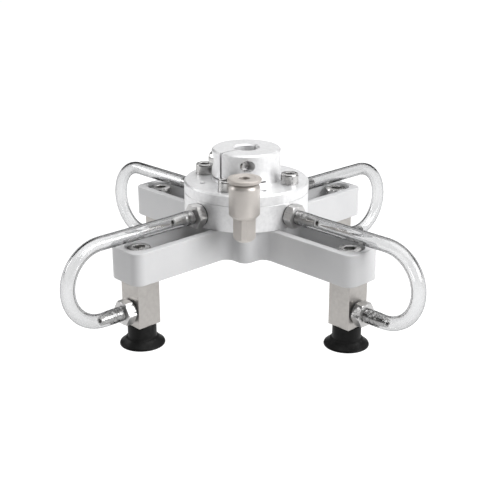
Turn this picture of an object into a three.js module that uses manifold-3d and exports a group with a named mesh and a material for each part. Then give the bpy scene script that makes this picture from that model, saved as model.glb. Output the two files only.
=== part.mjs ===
// Four-arm vacuum gripper. A split clamp hub with a cover flange sits on a round air manifold,
// and the manifold on an X-shaped plate. Each arm of the plate carries a vacuum block with a
// suction cup, clamped by a screw in the arm's slot and fed by a clear tube.
// Millimetres, +Z up. The hub's axis is the Z axis and the cup lips stand on z = 0.
// The arms lie along +X (front right), +Y (back right), -X (back left) and -Y (front left).
// Each arm's pieces are built for the +X arm and then turned about Z.

import * as THREE from "three";
import { mergeVertices } from "three/addons/utils/BufferGeometryUtils.js";
import Module from "manifold-3d";

const wasm = await Module();
wasm.setup();

// Heights of the stack, from the cup lips up
const CUP_HEIGHT = 12.4;
const BLOCK_HEIGHT = 27;
const PLATE_THICKNESS = 18;
const MANIFOLD_HEIGHT = 15.2;
const COVER_THICKNESS = 6.3;
const HUB_HEIGHT = 18.4;
const BLOCK_BOTTOM = CUP_HEIGHT;
const PLATE_BOTTOM = BLOCK_BOTTOM + BLOCK_HEIGHT;
const PLATE_TOP = PLATE_BOTTOM + PLATE_THICKNESS;
const MANIFOLD_TOP = PLATE_TOP + MANIFOLD_HEIGHT;
const COVER_TOP = MANIFOLD_TOP + COVER_THICKNESS;
const HUB_TOP = COVER_TOP + HUB_HEIGHT;

// Gap between pieces that slide, screw or press into one another
const GAP = 0.3;
// How far a cutting tool runs past the face it cuts
const PAST = 1;

// Clamp hub and cover
const HUB_RADIUS = 20;
const FLANGE_RADIUS = 36.3;
const EDGE_CHAMFER = 0.8;
const BORE_RADIUS = 7;
const SLIT_WIDTH = 1.5;
const KERF_THICKNESS = 1;
const KERF_DEPTH = 15.3; // below the hub's top
const KERF_STOP = 3.4; // the kerf ends this far in front of the hub's axis
const RELIEF_WIDTH = 1.2;
const RELIEF_DEPTH = 2;
const CLAMP_OFFSET = 13; // from the hub's axis to the clamp screw's axis
const CLAMP_DEPTH = 6.2; // below the hub's top
const CLAMP_SEAT = 7; // from the slit's middle to the screw head's seat
const SPOTFACE_RADIUS = 5.5;

// Screws: shank radius, length below the head, head radius and height, socket across flats
const M4 = { shank: 2, head: 3.5, headHeight: 4, socket: 3 };
const M6 = { shank: 3, head: 5, headHeight: 6, socket: 5 };
const M8 = { shank: 4, head: 6.5, headHeight: 8, socket: 6 };
const CLAMP_SCREW_LENGTH = 20;
const COVER_SCREW_LENGTH = 16;
const PLATE_SCREW_LENGTH = 20;
const SLOT_SCREW_LENGTH = 20;
const COVER_SCREW_CIRCLE = 27; // radius of the bolt circle
const COVER_SCREW_TURN = 22.5;
const SPARE_HOLE_RADIUS = 1.65;
const PLATE_SCREW_CIRCLE = 7.5;

// Air manifold
const MANIFOLD_RADIUS = 36.2;
const CHANNEL_INNER = 13;
const CHANNEL_OUTER = 19;
const CHANNEL_FLOOR = PLATE_TOP + 3.6;
const PORT_HEIGHT = PLATE_TOP + 7.24;
const PORT_FACE = 35.6; // from the hub's axis to the flat face milled round a port
const PORT_FACE_RADIUS = 6.9;
const PORT_DEPTH = 7.6;
const AIR_BORE_RADIUS = 2.2;
const GROOVE_DEPTH = 1.2;
const INNER_GROOVE = 9.6;
const OUTER_GROOVE = 20.4;
const GROOVE_WIDTH = 1.8;

// Cross plate
const ARM_HALF_WIDTH = 12.5;
const ARM_END = 91.5;
const ARM_CORNER = 6;
const CENTRE_HALF_WIDTH = 27;
const CENTRE_CORNER = 6;
const FILLET_RADIUS = 5.5;
const UPPER_SLOT_HALF_WIDTH = 7.8;
const LOWER_SLOT_HALF_WIDTH = 4.5;
const SLOT_START = 38;
const SLOT_END = 80.5;
const SCREW_SEAT = PLATE_TOP - 9;

// Vacuum blocks
const HOLDER_RADIUS = 80; // from the hub's axis to a block's axis
const BLOCK_SIDE = 14.5;
const BLOCK_FACE = HOLDER_RADIUS + BLOCK_SIDE / 2;
const BLOCK_PORT_HEIGHT = 21.5;
const BLOCK_PORT_DEPTH = 4.4;
const KEY_HEIGHT = 4;
const KEY_LENGTH = 2.3;
const NIPPLE_THREAD_RADIUS = 2.9;
const NIPPLE_THREAD_LENGTH = 3.6;

// Hose barbs, measured outwards from the face they screw into
const THREAD_RADIUS = 3.9;
const WASHER_THICKNESS = 0.8;
const WASHER_RADIUS = 6.3;
const HEX_ACROSS_FLATS = 12.6;
const HEX_START = 0.9;
const HEX_END = 6.3;
const BARB_END = 17.8;
const BARB_NECK_RADIUS = 2.4;
const BARB_TOOTH_RADIUS = 2.9;
const BARB_TOOTH_PITCH = 3.3;
const BARB_TEETH = 3;
const BARB_BORE_RADIUS = 1.5;

// Air tubes
const TUBE_RADIUS = 4;
const TUBE_INNER_RADIUS = 3.3;
const TUBE_SIDES = 8;
const TUBE_STEPS = 16;
const TUBE_CLEARANCE = 0.5; // from a barb's hexagon to the tube's end
const FRONT_BEND_START = 105;
const BACK_BEND_START = 101.5;

// Elbow fitting
const ELBOW_DISTANCE = 47; // from the hub's axis to the barrel's axis
const ELBOW_TURN = -45;
const ELBOW_BOTTOM = 56.2;
const BARREL_BOTTOM = 70.7;
const BARREL_TOP = 89.3;
const COLLAR_BOTTOM = 90.3;
const COLLAR_TOP = 92.5;
const BARREL_RADIUS = 8.5;
const COLLAR_RADIUS = 9.4;
const FOOT_HALF_WIDTH = 6.1; // over the narrow flats of the eight-sided foot
const FOOT_FLAT = 3;
const FOOT_ROUND = 4; // height of the rounded end
const STEM_THREAD_RADIUS = 4.6;
const STEM_END = 44.3;
const SOCKET_RADIUS = 5.3;
const SOCKET_FLOOR = 75;
const TUBE_HOLE_RADIUS = 3.2;
const SLEEVE_BOTTOM = 80.3;

const ALUMINIUM = 0xd9dadb;
const STEEL = 0x9fa2a6;
const NICKEL = 0xb4afa9;
const BRIGHT_NICKEL = 0xc9cacc;
const BEIGE_NICKEL = 0xcfc6bd;
const RUBBER = 0x161616;
const CLEAR_TUBE = 0xdde6ea;
const NYLON = 0x1c1c1c;

const ARMS = [
  { name: "front_right", turn: 0, bend: FRONT_BEND_START },
  { name: "back_right", turn: 90, bend: BACK_BEND_START },
  { name: "back_left", turn: 180, bend: BACK_BEND_START },
  { name: "front_left", turn: 270, bend: FRONT_BEND_START },
];

const degrees = (angle) => (angle * Math.PI) / 180;

// A closed three.js geometry as a solid.
function solid(geometry) {
  geometry.deleteAttribute("normal");
  geometry.deleteAttribute("uv");
  const merged = mergeVertices(geometry, 1e-4);
  return new wasm.Manifold(
    new wasm.Mesh({
      numProp: 3,
      vertProperties: merged.attributes.position.array,
      triVerts: new Uint32Array(merged.index.array),
    }),
  );
}

// A profile of [radius, height] points turned about the Z axis.
function turned(profile, segments = 24) {
  const points = profile.map(([r, z]) => new THREE.Vector2(r, z));
  return solid(new THREE.LatheGeometry(points, segments).rotateX(Math.PI / 2));
}

function cylinder(radius, low, high, segments = 24) {
  const profile = [
    [0, low],
    [radius, low],
    [radius, high],
    [0, high],
  ];
  return turned(profile, segments);
}

// A ring of rectangular section.
function ring(inner, outer, low, high, segments = 24) {
  const profile = [
    [inner, low],
    [outer, low],
    [outer, high],
    [inner, high],
    [inner, low],
  ];
  return turned(profile, segments);
}

// A hexagonal prism along Z, with two of its flats square to X.
function hexagon(acrossFlats, low, high) {
  return cylinder(acrossFlats / Math.sqrt(3), low, high, 6);
}

function box([x0, x1], [y0, y1], [z0, z1]) {
  const geometry = new THREE.BoxGeometry(x1 - x0, y1 - y0, z1 - z0);
  return solid(geometry.translate((x0 + x1) / 2, (y0 + y1) / 2, (z0 + z1) / 2));
}

function prism(outline, low, high) {
  const shape = new THREE.Shape(outline.map(([x, y]) => new THREE.Vector2(x, y)));
  const settings = { depth: high - low, bevelEnabled: false };
  return solid(new THREE.ExtrudeGeometry(shape, settings).translate(0, 0, low));
}

// Points of an arc in the XY plane, from one angle in degrees to another.
function arc([cx, cy], radius, from, to, steps) {
  return Array.from({ length: steps + 1 }, (_, i) => {
    const angle = degrees(from + ((to - from) * i) / steps);
    return [cx + radius * Math.cos(angle), cy + radius * Math.sin(angle)];
  });
}

// A slot along X with rounded ends, cut between two heights.
function slot(start, end, halfWidth, low, high) {
  const outline = [
    ...arc([end, 0], halfWidth, -90, 90, 8),
    ...arc([start, 0], halfWidth, 90, 270, 8),
  ];
  return prism(outline, low, high);
}

// Turns a solid built along Z so that it lies along +X, starting at x and at height z.
function alongX(made, x, z) {
  return made.rotate([0, 90, 0]).translate([x, 0, z]);
}

// A solid repeated on a circle round the Z axis.
function circleOf(made, radius, firstTurn, count = 4) {
  return Array.from({ length: count }, (_, i) =>
    made.translate([radius, 0, 0]).rotate([0, 0, firstTurn + (360 / count) * i]),
  );
}

function subtractAll(made, tools) {
  return tools.reduce((left, tool) => left.subtract(tool), made);
}

// A cap screw whose head stands on z = 0, with a hexagon socket.
function capScrew({ shank, head, headHeight, socket }, length) {
  const edge = 0.5;
  const profile = [
    [0, -length],
    [shank - edge, -length],
    [shank, edge - length],
    [shank, 0],
    [head, 0],
    [head, headHeight - edge],
    [head - edge, headHeight],
    [0, headHeight],
  ];
  const key = hexagon(socket, headHeight / 2, headHeight + PAST);
  return turned(profile, 14).subtract(key);
}

// The clamp hub and the cover flange are one piece, cut like a T so that the screw closes it.
function hubFlange() {
  const profile = [
    [0, MANIFOLD_TOP],
    [FLANGE_RADIUS, MANIFOLD_TOP],
    [FLANGE_RADIUS, COVER_TOP - EDGE_CHAMFER],
    [FLANGE_RADIUS - EDGE_CHAMFER, COVER_TOP],
    [HUB_RADIUS, COVER_TOP],
    [HUB_RADIUS, HUB_TOP - EDGE_CHAMFER],
    [HUB_RADIUS - EDGE_CHAMFER, HUB_TOP],
    [0, HUB_TOP],
  ];
  const bore = [
    [0, MANIFOLD_TOP - PAST],
    [BORE_RADIUS, MANIFOLD_TOP - PAST],
    [BORE_RADIUS, HUB_TOP - EDGE_CHAMFER],
    [BORE_RADIUS + EDGE_CHAMFER + PAST, HUB_TOP + PAST],
    [0, HUB_TOP + PAST],
  ];
  const kerfTop = HUB_TOP - KERF_DEPTH;
  const front = -HUB_RADIUS - PAST;
  const slitHeights = [kerfTop - KERF_THICKNESS / 2, HUB_TOP + PAST];
  const slit = box([-SLIT_WIDTH / 2, SLIT_WIDTH / 2], [front, 0], slitHeights);
  const kerf = box(
    [front, -front],
    [front, -KERF_STOP],
    [kerfTop - KERF_THICKNESS, kerfTop],
  );
  const relief = box(
    [-RELIEF_WIDTH / 2, RELIEF_WIDTH / 2],
    [0, BORE_RADIUS + RELIEF_DEPTH],
    [COVER_TOP, HUB_TOP + PAST],
  );
  const spotface = cylinder(SPOTFACE_RADIUS, -HUB_RADIUS - PAST, -CLAMP_SEAT, 16);
  const clampHole = cylinder(M6.shank + GAP, -HUB_RADIUS, HUB_RADIUS, 12);
  const clampTools = [spotface, clampHole].map((tool) =>
    alongX(tool, 0, HUB_TOP - CLAMP_DEPTH).translate([0, -CLAMP_OFFSET, 0]),
  );
  const heights = [MANIFOLD_TOP - PAST, COVER_TOP + PAST];
  const screwHole = cylinder(M6.shank + GAP, ...heights, 12);
  const spareHole = cylinder(SPARE_HOLE_RADIUS, ...heights, 8);
  return subtractAll(turned(profile, 48), [
    turned(bore, 28),
    slit,
    kerf,
    relief,
    ...clampTools,
    ...circleOf(screwHole, COVER_SCREW_CIRCLE, COVER_SCREW_TURN),
    ...circleOf(spareHole, COVER_SCREW_CIRCLE, COVER_SCREW_TURN + 45),
  ]);
}

function clampScrew() {
  const seat = -CLAMP_SEAT - GAP / 2;
  return capScrew(M6, CLAMP_SCREW_LENGTH)
    .rotate([0, -90, 0])
    .translate([seat, -CLAMP_OFFSET, HUB_TOP - CLAMP_DEPTH]);
}

// The thread hole of a port and the bore behind it, along -X from the face at x = 0.
function portTool(threadRadius, depth, reach) {
  const thread = cylinder(threadRadius + GAP, -depth, PAST, 12);
  const bore = cylinder(AIR_BORE_RADIUS, -reach, PAST, 8);
  return alongX(thread.add(bore), 0, 0);
}

// One port in the manifold, with the flat face its fitting seals on.
function manifoldPort(threadRadius) {
  const reach = PORT_FACE - (CHANNEL_INNER + CHANNEL_OUTER) / 2;
  const face = alongX(cylinder(PORT_FACE_RADIUS, 0, 2 * PAST, 16), 0, 0);
  return portTool(threadRadius, PORT_DEPTH, reach)
    .add(face)
    .translate([PORT_FACE, 0, PORT_HEIGHT]);
}

// The body has a ring channel under the cover that joins the inlet to the four outlets.
function manifoldBody() {
  const high = MANIFOLD_TOP + PAST;
  const grooveFloor = MANIFOLD_TOP - GROOVE_DEPTH;
  const outlet = manifoldPort(THREAD_RADIUS);
  const coverThread = cylinder(M6.shank + GAP, COVER_TOP - COVER_SCREW_LENGTH - PAST, high, 12);
  const plateThread = cylinder(M4.shank + GAP, PLATE_TOP - PAST, CHANNEL_FLOOR + 5, 8);
  return subtractAll(cylinder(MANIFOLD_RADIUS, PLATE_TOP, MANIFOLD_TOP, 48), [
    ring(CHANNEL_INNER, CHANNEL_OUTER, CHANNEL_FLOOR, high, 24),
    ring(INNER_GROOVE, INNER_GROOVE + GROOVE_WIDTH, grooveFloor, high, 24),
    ring(OUTER_GROOVE, OUTER_GROOVE + GROOVE_WIDTH, grooveFloor, high, 24),
    ...ARMS.map(({ turn }) => outlet.rotate([0, 0, turn])),
    manifoldPort(STEM_THREAD_RADIUS).rotate([0, 0, ELBOW_TURN]),
    ...circleOf(coverThread, COVER_SCREW_CIRCLE, COVER_SCREW_TURN),
    ...circleOf(plateThread, PLATE_SCREW_CIRCLE, 45),
  ]);
}

// An O-ring pressed flat in its groove, with a six-sided section.
function oRing(grooveInner) {
  const half = GROOVE_WIDTH / 2 - 0.15;
  const centre = [grooveInner + GROOVE_WIDTH / 2, MANIFOLD_TOP - GROOVE_DEPTH / 2];
  const flatten = (GROOVE_DEPTH / 2 - 0.1) / half;
  const section = arc([0, 0], half, 0, 360, 6);
  const profile = section.map(([r, z]) => [centre[0] + r, centre[1] + z * flatten]);
  return turned(profile, 24);
}

// The plate's outline: four arms that run through hollow fillets into a square centre with
// rounded corners.
function plateOutline() {
  const filletX = CENTRE_HALF_WIDTH + FILLET_RADIUS;
  const filletY = ARM_HALF_WIDTH + FILLET_RADIUS;
  const centreCorner = CENTRE_HALF_WIDTH - CENTRE_CORNER;
  const cornerX = ARM_END - ARM_CORNER;
  const cornerY = ARM_HALF_WIDTH - ARM_CORNER;
  const quarter = [
    ...arc([cornerX, -cornerY], ARM_CORNER, -90, 0, 6),
    ...arc([cornerX, cornerY], ARM_CORNER, 0, 90, 6),
    ...arc([filletX, filletY], FILLET_RADIUS, 270, 180, 6),
    ...arc([centreCorner, centreCorner], CENTRE_CORNER, 0, 90, 6),
    ...arc([filletY, filletX], FILLET_RADIUS, 270, 180, 6),
  ];
  return [0, 1, 2, 3].flatMap((turns) =>
    quarter.map(([x, y]) => {
      const [c, s] = [[1, 0], [0, 1], [-1, 0], [0, -1]][turns];
      return [c * x - s * y, s * x + c * y];
    }),
  );
}

function crossPlate() {
  const upper = slot(SLOT_START, SLOT_END, UPPER_SLOT_HALF_WIDTH, SCREW_SEAT, PLATE_TOP + PAST);
  const low = PLATE_BOTTOM - PAST;
  const lower = slot(SLOT_START, SLOT_END, LOWER_SLOT_HALF_WIDTH, low, PLATE_TOP);
  const armTool = upper.add(lower);
  const hole = cylinder(M4.shank + GAP, low, PLATE_TOP + PAST, 8);
  const counterbore = cylinder(M4.head + GAP, low, PLATE_BOTTOM + M4.headHeight + PAST, 12);
  return subtractAll(prism(plateOutline(), PLATE_BOTTOM, PLATE_TOP), [
    ...ARMS.map(({ turn }) => armTool.rotate([0, 0, turn])),
    ...circleOf(hole.add(counterbore), PLATE_SCREW_CIRCLE, 45),
  ]);
}

// Holds the plate to the manifold from below, its head sunk in the plate.
function plateScrew() {
  const seat = PLATE_BOTTOM + M4.headHeight + PAST - GAP / 2;
  return capScrew(M4, PLATE_SCREW_LENGTH).rotate([180, 0, 0]).translate([0, 0, seat]);
}

// A block with air bores from its side port to the cup below, and a key that keeps it square
// in the slot.
function vacuumBlock() {
  const half = BLOCK_SIDE / 2;
  const top = PLATE_BOTTOM - GAP;
  const body = box([-half, half], [-half, half], [BLOCK_BOTTOM, top]);
  const keyHalf = LOWER_SLOT_HALF_WIDTH - GAP;
  const key = box([-half, KEY_LENGTH - half], [-keyHalf, keyHalf], [top - PAST, top + KEY_HEIGHT]);
  const screwFloor = SCREW_SEAT - SLOT_SCREW_LENGTH - PAST;
  const nippleTop = BLOCK_BOTTOM + NIPPLE_THREAD_LENGTH + GAP;
  const port = portTool(THREAD_RADIUS, BLOCK_PORT_DEPTH, half);
  return subtractAll(body.add(key), [
    cylinder(M8.shank + GAP, screwFloor, top + PAST, 12),
    port.translate([half, 0, BLOCK_PORT_HEIGHT]),
    cylinder(AIR_BORE_RADIUS, BLOCK_BOTTOM, BLOCK_PORT_HEIGHT, 8),
    cylinder(NIPPLE_THREAD_RADIUS + GAP, BLOCK_BOTTOM - PAST, nippleTop, 12),
  ]).translate([HOLDER_RADIUS, 0, 0]);
}

function slotScrew() {
  const seat = SCREW_SEAT + GAP;
  return capScrew(M8, SLOT_SCREW_LENGTH).translate([HOLDER_RADIUS, 0, seat]);
}

// The cup's wall is thick at the neck and thin at the lip, and its hollow is shallow.
function suctionCup() {
  const top = CUP_HEIGHT - GAP / 2;
  const profile = [
    [11.6, 0],
    [12.6, 0],
    [12.6, 0.9],
    [9.4, 4.3],
    [8, 6.6],
    [8, top],
    [5, top],
    [5, 8.7],
    [6.2, 8.7],
    [6.2, 6.1],
    [5, 6.1],
    [5, 3.9],
    [8, 3.3],
    [11.6, 0],
  ];
  return turned(profile, 18).translate([HOLDER_RADIUS, 0, 0]);
}

// Screws into the block from below, and its collar holds the cup's neck.
function cupNipple() {
  const threadTop = BLOCK_BOTTOM + NIPPLE_THREAD_LENGTH;
  const profile = [
    [1.4, 4.2],
    [4.7, 4.2],
    [4.7, 6.4],
    [5.9, 6.4],
    [5.9, 8.4],
    [4.7, 8.4],
    [4.7, BLOCK_BOTTOM - GAP / 2],
    [NIPPLE_THREAD_RADIUS, BLOCK_BOTTOM - GAP / 2],
    [NIPPLE_THREAD_RADIUS, threadTop],
    [1.4, threadTop],
    [1.4, 4.2],
  ];
  return turned(profile, 10).translate([HOLDER_RADIUS, 0, 0]);
}

// A hose barb: thread, hexagon and toothed spigot in one piece.
function hoseBarb(threadLength) {
  const teeth = Array.from({ length: BARB_TEETH }, (_, i) => {
    const end = BARB_END - (BARB_TEETH - 1 - i) * BARB_TOOTH_PITCH;
    return [
      [BARB_TOOTH_RADIUS, end - BARB_TOOTH_PITCH],
      [BARB_NECK_RADIUS, end],
    ];
  }).flat();
  const profile = [
    [0, -threadLength],
    [THREAD_RADIUS, -threadLength],
    [THREAD_RADIUS, HEX_START + PAST],
    [BARB_NECK_RADIUS, HEX_START + PAST],
    [BARB_NECK_RADIUS, BARB_END - BARB_TEETH * BARB_TOOTH_PITCH],
    ...teeth,
    [0, BARB_END],
  ];
  const bore = cylinder(BARB_BORE_RADIUS, -threadLength - PAST, BARB_END + PAST, 8);
  const hex = hexagon(HEX_ACROSS_FLATS, HEX_START, HEX_END);
  return turned(profile, 12).add(hex).subtract(bore);
}

function sealingWasher() {
  const start = 0.05;
  return ring(THREAD_RADIUS + GAP, WASHER_RADIUS, start, start + WASHER_THICKNESS, 12);
}

// The tube's route for the +X arm: out from the manifold, half a turn down, back to the block.
class TubeRoute extends THREE.Curve {
  constructor(bendStart) {
    super();
    this.start = PORT_FACE + HEX_END + TUBE_CLEARANCE;
    this.end = BLOCK_FACE + HEX_END + TUBE_CLEARANCE;
    this.bendStart = bendStart;
    this.bendRadius = (PORT_HEIGHT - BLOCK_PORT_HEIGHT) / 2;
  }

  getPoint(t, target = new THREE.Vector3()) {
    const out = this.bendStart - this.start;
    const bend = Math.PI * this.bendRadius;
    const back = this.bendStart - this.end;
    const travelled = t * (out + bend + back);
    if (travelled <= out) return target.set(this.start + travelled, 0, PORT_HEIGHT);
    if (travelled >= out + bend) {
      return target.set(this.bendStart - (travelled - out - bend), 0, BLOCK_PORT_HEIGHT);
    }
    const angle = (travelled - out) / this.bendRadius;
    const middle = (PORT_HEIGHT + BLOCK_PORT_HEIGHT) / 2;
    return target.set(
      this.bendStart + this.bendRadius * Math.sin(angle),
      0,
      middle + this.bendRadius * Math.cos(angle),
    );
  }
}

// A hollow tube along its route.
function airTube(bendStart) {
  const circle = (radius) =>
    arc([0, 0], radius, 0, 360, TUBE_SIDES)
      .slice(0, -1)
      .map(([x, y]) => new THREE.Vector2(x, y));
  const section = new THREE.Shape(circle(TUBE_RADIUS));
  section.holes.push(new THREE.Path(circle(TUBE_INNER_RADIUS)));
  const settings = {
    steps: TUBE_STEPS,
    bevelEnabled: false,
    extrudePath: new TubeRoute(bendStart),
  };
  return solid(new THREE.ExtrudeGeometry(section, settings));
}

// The elbow's foot: eight sides, narrow flats fore and aft and to the sides, rounded below.
function elbowFoot() {
  const [w, f] = [FOOT_HALF_WIDTH, FOOT_FLAT / 2];
  const corner = [
    [w, -f],
    [w, f],
    [f, w],
    [-f, w],
    [-w, f],
    [-w, -f],
    [-f, -w],
    [f, -w],
  ];
  const end = arc([0, ELBOW_BOTTOM + FOOT_ROUND], 1, -90, 0, 4).map(([x, y]) => [
    x * (w + 1),
    ELBOW_BOTTOM + FOOT_ROUND + (y - ELBOW_BOTTOM - FOOT_ROUND) * FOOT_ROUND,
  ]);
  const envelope = turned([...end, [w + 1, BARREL_BOTTOM + PAST], [0, BARREL_BOTTOM + PAST]]);
  return prism(corner, ELBOW_BOTTOM, BARREL_BOTTOM + PAST).intersect(envelope);
}

// The elbow's barrel and foot, bored from the top for the tube and from the side for the stem.
function elbowBody() {
  const barrel = turned([
    [0, BARREL_BOTTOM],
    [BARREL_RADIUS - 1.5, BARREL_BOTTOM],
    [BARREL_RADIUS, BARREL_BOTTOM + 1.5],
    [BARREL_RADIUS, BARREL_TOP - 1],
    [BARREL_RADIUS - 0.9, BARREL_TOP],
    [0, BARREL_TOP],
  ]);
  const bore = cylinder(AIR_BORE_RADIUS, PORT_HEIGHT, BARREL_TOP, 8);
  const socket = cylinder(SOCKET_RADIUS, SOCKET_FLOOR, BARREL_TOP + PAST, 16);
  const pivot = alongX(cylinder(THREAD_RADIUS + GAP, -FOOT_HALF_WIDTH - PAST, 0, 14), 0, PORT_HEIGHT);
  return subtractAll(barrel.add(elbowFoot()), [bore, socket, pivot]).translate([
    ELBOW_DISTANCE,
    0,
    0,
  ]);
}

// The stem screws into the manifold, and the elbow swivels on its plain end.
function elbowStem() {
  const footFace = ELBOW_DISTANCE - FOOT_HALF_WIDTH - GAP;
  const profile = [
    [2, PORT_FACE - PORT_DEPTH + GAP],
    [STEM_THREAD_RADIUS, PORT_FACE - PORT_DEPTH + GAP],
    [STEM_THREAD_RADIUS, PORT_FACE + 0.1],
    [6, PORT_FACE + 0.1],
    [6, footFace],
    [THREAD_RADIUS, footFace],
    [THREAD_RADIUS, STEM_END],
    [2, STEM_END],
    [2, PORT_FACE - PORT_DEPTH + GAP],
  ];
  return alongX(turned(profile, 14), 0, PORT_HEIGHT);
}

// The collar pushes the grip ring open when it is pressed down.
function releaseCollar() {
  const sleeve = SOCKET_RADIUS - 2 * GAP;
  const profile = [
    [TUBE_HOLE_RADIUS, SLEEVE_BOTTOM],
    [sleeve, SLEEVE_BOTTOM],
    [sleeve, COLLAR_BOTTOM],
    [COLLAR_RADIUS - 0.4, COLLAR_BOTTOM],
    [COLLAR_RADIUS, COLLAR_BOTTOM + 0.5],
    [COLLAR_RADIUS, COLLAR_TOP - 1],
    [COLLAR_RADIUS - 1.6, COLLAR_TOP],
    [TUBE_HOLE_RADIUS, COLLAR_TOP],
    [TUBE_HOLE_RADIUS, SLEEVE_BOTTOM],
  ];
  return turned(profile, 20).translate([ELBOW_DISTANCE, 0, 0]);
}

function elbowRing(inner, low, high) {
  return ring(inner, SOCKET_RADIUS - GAP, low, high, 12).translate([ELBOW_DISTANCE, 0, 0]);
}

function mesh(name, made, color) {
  const { vertProperties, triVerts } = made.getMesh();
  const geometry = new THREE.BufferGeometry()
    .setAttribute("position", new THREE.BufferAttribute(vertProperties, 3))
    .setIndex(new THREE.BufferAttribute(triVerts, 1));
  geometry.computeVertexNormals();
  const piece = new THREE.Mesh(geometry, new THREE.MeshStandardMaterial({ color }));
  piece.name = name;
  return piece;
}

const gripper = new THREE.Group();
gripper.name = "vacuum_gripper";
const add = (name, made, color) => gripper.add(mesh(name, made, color));

add("hub_flange", hubFlange(), ALUMINIUM);
add("clamp_screw", clampScrew(), STEEL);
add("manifold_body", manifoldBody(), ALUMINIUM);
add("inner_o_ring", oRing(INNER_GROOVE), RUBBER);
add("outer_o_ring", oRing(OUTER_GROOVE), RUBBER);
add("cross_plate", crossPlate(), ALUMINIUM);

const coverScrew = capScrew(M6, COVER_SCREW_LENGTH).translate([0, 0, COVER_TOP]);
circleOf(coverScrew, COVER_SCREW_CIRCLE, COVER_SCREW_TURN).forEach((made, i) => {
  add(`cover_screw_${i + 1}`, made, STEEL);
});
circleOf(plateScrew(), PLATE_SCREW_CIRCLE, 45).forEach((made, i) => {
  add(`plate_screw_${i + 1}`, made, STEEL);
});

const manifoldBarb = alongX(hoseBarb(PORT_DEPTH - GAP), PORT_FACE, PORT_HEIGHT);
const manifoldWasher = alongX(sealingWasher(), PORT_FACE, PORT_HEIGHT);
const blockBarb = alongX(hoseBarb(BLOCK_PORT_DEPTH - GAP), BLOCK_FACE, BLOCK_PORT_HEIGHT);
const blockWasher = alongX(sealingWasher(), BLOCK_FACE, BLOCK_PORT_HEIGHT);
const armPieces = [
  ["manifold_barb", manifoldBarb, BRIGHT_NICKEL],
  ["manifold_washer", manifoldWasher, NYLON],
  ["vacuum_block", vacuumBlock(), NICKEL],
  ["slot_screw", slotScrew(), STEEL],
  ["block_barb", blockBarb, BRIGHT_NICKEL],
  ["block_washer", blockWasher, NYLON],
  ["cup_nipple", cupNipple(), BRIGHT_NICKEL],
  ["suction_cup", suctionCup(), RUBBER],
];
for (const { name, turn, bend } of ARMS) {
  for (const [piece, made, color] of armPieces) {
    add(`${piece}_${name}`, made.rotate([0, 0, turn]), color);
  }
  add(`air_tube_${name}`, airTube(bend).rotate([0, 0, turn]), CLEAR_TUBE);
}

const elbowPieces = [
  ["elbow_body", elbowBody(), BEIGE_NICKEL],
  ["elbow_stem", elbowStem(), BRIGHT_NICKEL],
  ["release_collar", releaseCollar(), BEIGE_NICKEL],
  ["elbow_grip_ring", elbowRing(TUBE_HOLE_RADIUS, 78, 78.8), STEEL],
  ["elbow_tube_seal", elbowRing(TUBE_HOLE_RADIUS - 0.1, 75.3, 77.3), RUBBER],
];
for (const [name, made, color] of elbowPieces) {
  add(name, made.rotate([0, 0, ELBOW_TURN]), color);
}

export default gripper;
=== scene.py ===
"""Looks of the four-arm vacuum gripper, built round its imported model.

Lengths are in millimetres, and MM turns them into metres. Arms lie along +X, +Y, -X and -Y,
and each arm's pieces are made for the +X arm and turned about Z.
"""

import math

import bmesh
import bpy
import numpy as np
from mathutils import Matrix, Vector


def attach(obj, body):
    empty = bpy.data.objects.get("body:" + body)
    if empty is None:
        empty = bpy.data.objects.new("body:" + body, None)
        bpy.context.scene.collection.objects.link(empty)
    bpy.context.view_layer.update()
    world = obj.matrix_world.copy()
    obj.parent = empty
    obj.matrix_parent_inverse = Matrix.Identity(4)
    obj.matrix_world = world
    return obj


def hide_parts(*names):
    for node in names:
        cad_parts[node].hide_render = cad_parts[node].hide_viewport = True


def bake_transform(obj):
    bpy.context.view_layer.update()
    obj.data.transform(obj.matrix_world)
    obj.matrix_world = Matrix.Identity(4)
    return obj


MM = 0.001

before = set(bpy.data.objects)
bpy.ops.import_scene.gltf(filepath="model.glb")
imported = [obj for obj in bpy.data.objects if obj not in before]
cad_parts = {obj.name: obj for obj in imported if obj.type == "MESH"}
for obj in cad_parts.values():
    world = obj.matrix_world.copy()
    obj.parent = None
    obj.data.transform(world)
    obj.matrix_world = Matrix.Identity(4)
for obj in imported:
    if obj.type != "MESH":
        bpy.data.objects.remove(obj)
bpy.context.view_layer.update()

# Camera: fitted focal length, distance and target
CAMERA_LENS = 70.8
CAMERA_SENSOR = 36.0
CAMERA_AZIMUTH = 46.03
CAMERA_ELEVATION = 20.24
CAMERA_DISTANCE = 0.5882
CAMERA_TARGET = Vector((0.00154, 0.00154, 0.0342))

# Heights of the stack
CUP_HEIGHT = 12.4
PLATE_BOTTOM = 39.4
PLATE_TOP = 57.4
MANIFOLD_TOP = 72.6
COVER_TOP = 78.9
HUB_TOP = 97.3
PORT_HEIGHT = 64.64
BLOCK_PORT_HEIGHT = 21.5

# Cross plate
ARM_HALF_WIDTH = 12.5
ARM_END = 91.5
ARM_CORNER = 6
CENTRE_HALF_WIDTH = 27.1
CENTRE_CORNER = 5.8
FILLET_RADIUS = 5.4
SLOT_START = 38
SLOT_END = 80.5
SLOT_WIDE = 7.8
SLOT_NARROW = 4.5
SLOT_STEP_DEPTH = 9
PLATE_SCREW_CIRCLE = 7.5

# Clamp hub and cover
HUB_RADIUS = 20
FLANGE_RADIUS = 36.3
BORE_RADIUS = 7
SLIT_WIDTH = 1.5
KERF_TOP = HUB_TOP - 15.3
KERF_BOTTOM = KERF_TOP - 1
KERF_STOP = -3.4
CLAMP_Y = -13
CLAMP_Z = HUB_TOP - 6.2
CLAMP_SEAT = 7
COVER_SCREW_CIRCLE = 27
COVER_SCREW_TURN = 22.5

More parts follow.
